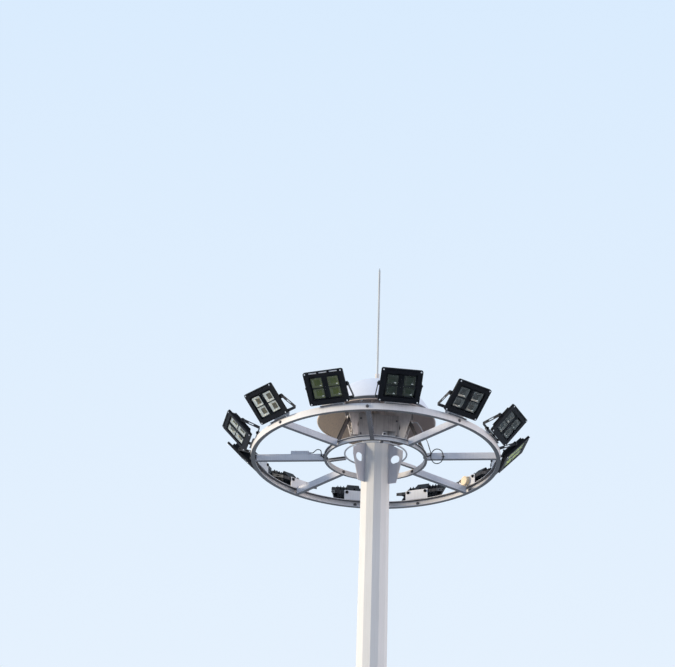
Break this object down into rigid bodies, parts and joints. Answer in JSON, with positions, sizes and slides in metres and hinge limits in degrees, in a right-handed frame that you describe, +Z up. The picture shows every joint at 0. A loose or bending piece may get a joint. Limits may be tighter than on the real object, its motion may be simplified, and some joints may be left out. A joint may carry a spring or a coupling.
{
  "type": "high mast floodlight tower",
  "caption": "Tapered many-sided high mast with a domed hood, a lightning rod and a lowering ring of tilting floodlights.",
  "frame": {"origin": "centre of the base flange's underside", "axes": "+Z up the mast; the pictured side faces -Y and +X is to its right"},
  "size_m": [2.9824, 2.9824, 21.645],
  "materials": {
    "galvanised_steel": "hot-dip galvanised",
    "mast_paint": "semi-gloss",
    "hood_paint": "semi-gloss",
    "bright_steel": "satin",
    "carriage_paint": "semi-gloss",
    "grey_plastic": "matt",
    "cream_plastic": "matt",
    "lead_rubber": "matt",
    "lamp_black": "black powder coat",
    "lamp_black_steel": "black powder coat",
    "lamp_glass": "clear"
  },
  "bodies": {
    "mast": {"base_flange": "galvanised_steel", "base_gussets": "galvanised_steel", "mast_lower_section": "mast_paint", "door_frame": "mast_paint", "door_stop": "mast_paint", "door_leaf": "mast_paint", "mast_upper_section": "mast_paint", "centring_fins": "mast_paint", "head_plate": "galvanised_steel", "head_brackets": "galvanised_steel", "head_pulleys": "galvanised_steel", "head_panels": "galvanised_steel", "pulley_pins": "galvanised_steel", "latch_plates": "galvanised_steel", "head_post": "galvanised_steel", "hood": "hood_paint", "rod_socket": "galvanised_steel", "lightning_rod": "bright_steel", "hoist_ropes": "bright_steel"},
    "lamp_carriage": {"outer_ring": "carriage_paint", "inner_ring": "carriage_paint", "spokes": "carriage_paint", "guide_hoop": "carriage_paint", "hoop_arms": "carriage_paint", "hanger_arms": "carriage_paint", "rope_anchors": "carriage_paint", "lamp_mounts": "carriage_paint", "lamp_straps": "lamp_black_steel", "junction_box": "grey_plastic", "box_lead": "lead_rubber", "round_box": "cream_plastic", "supply_lead": "lead_rubber"},
    "floodlight_01": {"floodlight_01_housing": "lamp_black", "floodlight_01_glass": "lamp_glass"},
    "floodlight_02": {"floodlight_02_housing": "lamp_black", "floodlight_02_glass": "lamp_glass"},
    "floodlight_03": {"floodlight_03_housing": "lamp_black", "floodlight_03_glass": "lamp_glass"},
    "floodlight_04": {"floodlight_04_housing": "lamp_black", "floodlight_04_glass": "lamp_glass"},
    "floodlight_05": {"floodlight_05_housing": "lamp_black", "floodlight_05_glass": "lamp_glass"},
    "floodlight_06": {"floodlight_06_housing": "lamp_black", "floodlight_06_glass": "lamp_glass"},
    "floodlight_07": {"floodlight_07_housing": "lamp_black", "floodlight_07_glass": "lamp_glass"},
    "floodlight_08": {"floodlight_08_housing": "lamp_black", "floodlight_08_glass": "lamp_glass"},
    "floodlight_09": {"floodlight_09_housing": "lamp_black", "floodlight_09_glass": "lamp_glass"},
    "floodlight_10": {"floodlight_10_housing": "lamp_black", "floodlight_10_glass": "lamp_glass"},
    "floodlight_11": {"floodlight_11_housing": "lamp_black", "floodlight_11_glass": "lamp_glass"},
    "floodlight_12": {"floodlight_12_housing": "lamp_black", "floodlight_12_glass": "lamp_glass"}
  },
  "joints": [
    {"name": "carriage_hoist", "type": "slide", "parent": "mast", "child": "lamp_carriage", "axis": [0, 0, 1], "range_m": [-18, 0], "deforming": ["hoist_ropes"]},
    {"name": "floodlight_01_tilt", "type": "hinge", "parent": "lamp_carriage", "child": "floodlight_01", "pos_m": [1.31026, 0.27851, 19.79091], "axis": [0.2079, -0.9781, 0], "range_deg": [-45, 40]},
    {"name": "floodlight_02_tilt", "type": "hinge", "parent": "lamp_carriage", "child": "floodlight_02", "pos_m": [0.99547, 0.89632, 19.79091], "axis": [0.6691, -0.7431, 0], "range_deg": [-45, 40]},
    {"name": "floodlight_03_tilt", "type": "hinge", "parent": "lamp_carriage", "child": "floodlight_03", "pos_m": [0.41394, 1.27397, 19.79091], "axis": [0.9511, -0.309, 0], "range_deg": [-45, 40]},
    {"name": "floodlight_04_tilt", "type": "hinge", "parent": "lamp_carriage", "child": "floodlight_04", "pos_m": [-0.27851, 1.31026, 19.79091], "axis": [0.9781, 0.2079, 0], "range_deg": [-45, 40]},
    {"name": "floodlight_05_tilt", "type": "hinge", "parent": "lamp_carriage", "child": "floodlight_05", "pos_m": [-0.89632, 0.99547, 19.79091], "axis": [0.7431, 0.6691, 0], "range_deg": [-45, 40]},
    {"name": "floodlight_06_tilt", "type": "hinge", "parent": "lamp_carriage", "child": "floodlight_06", "pos_m": [-1.27397, 0.41394, 19.79091], "axis": [0.309, 0.9511, 0], "range_deg": [-45, 40]},
    {"name": "floodlight_07_tilt", "type": "hinge", "parent": "lamp_carriage", "child": "floodlight_07", "pos_m": [-1.31026, -0.27851, 19.79091], "axis": [-0.2079, 0.9781, 0], "range_deg": [-45, 40]},
    {"name": "floodlight_08_tilt", "type": "hinge", "parent": "lamp_carriage", "child": "floodlight_08", "pos_m": [-0.99547, -0.89632, 19.79091], "axis": [-0.6691, 0.7431, 0], "range_deg": [-45, 40]},
    {"name": "floodlight_09_tilt", "type": "hinge", "parent": "lamp_carriage", "child": "floodlight_09", "pos_m": [-0.41394, -1.27397, 19.79091], "axis": [-0.9511, 0.309, 0], "range_deg": [-45, 40]},
    {"name": "floodlight_10_tilt", "type": "hinge", "parent": "lamp_carriage", "child": "floodlight_10", "pos_m": [0.27851, -1.31026, 19.79091], "axis": [-0.9781, -0.2079, 0], "range_deg": [-45, 40]},
    {"name": "floodlight_11_tilt", "type": "hinge", "parent": "lamp_carriage", "child": "floodlight_11", "pos_m": [0.89632, -0.99547, 19.79091], "axis": [-0.7431, -0.6691, 0], "range_deg": [-45, 40]},
    {"name": "floodlight_12_tilt", "type": "hinge", "parent": "lamp_carriage", "child": "floodlight_12", "pos_m": [1.27397, -0.41394, 19.79091], "axis": [-0.309, -0.9511, 0], "range_deg": [-45, 40]}
  ]
}
